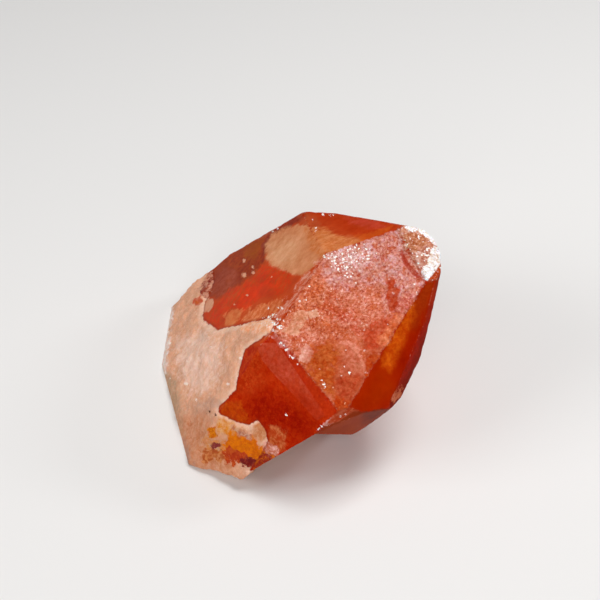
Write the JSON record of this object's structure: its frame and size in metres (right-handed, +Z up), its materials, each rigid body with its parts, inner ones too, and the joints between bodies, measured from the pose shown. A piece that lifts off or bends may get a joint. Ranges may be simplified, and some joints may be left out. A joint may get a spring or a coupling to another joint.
{
  "type": "quartz crystal",
  "caption": "Natural red quartz point with broad flat faces, a chipped tip and a rough milky root, resting on its flat broken base.",
  "frame": {"origin": "on the flat broken base that the crystal rests on, under the middle of its box", "axes": "+Z up from the resting face; the tip of the crystal leans towards +X, and its broad front face looks towards -Y"},
  "size_m": [0.043, 0.0522, 0.0323],
  "materials": {
    "red_quartz": "vitreous and cloudy red, frosted on the broad front face; the root is rough, matt, milky cream quartz"
  },
  "bodies": {
    "root": {"crystal": "red_quartz"}
  },
  "joints": []
}
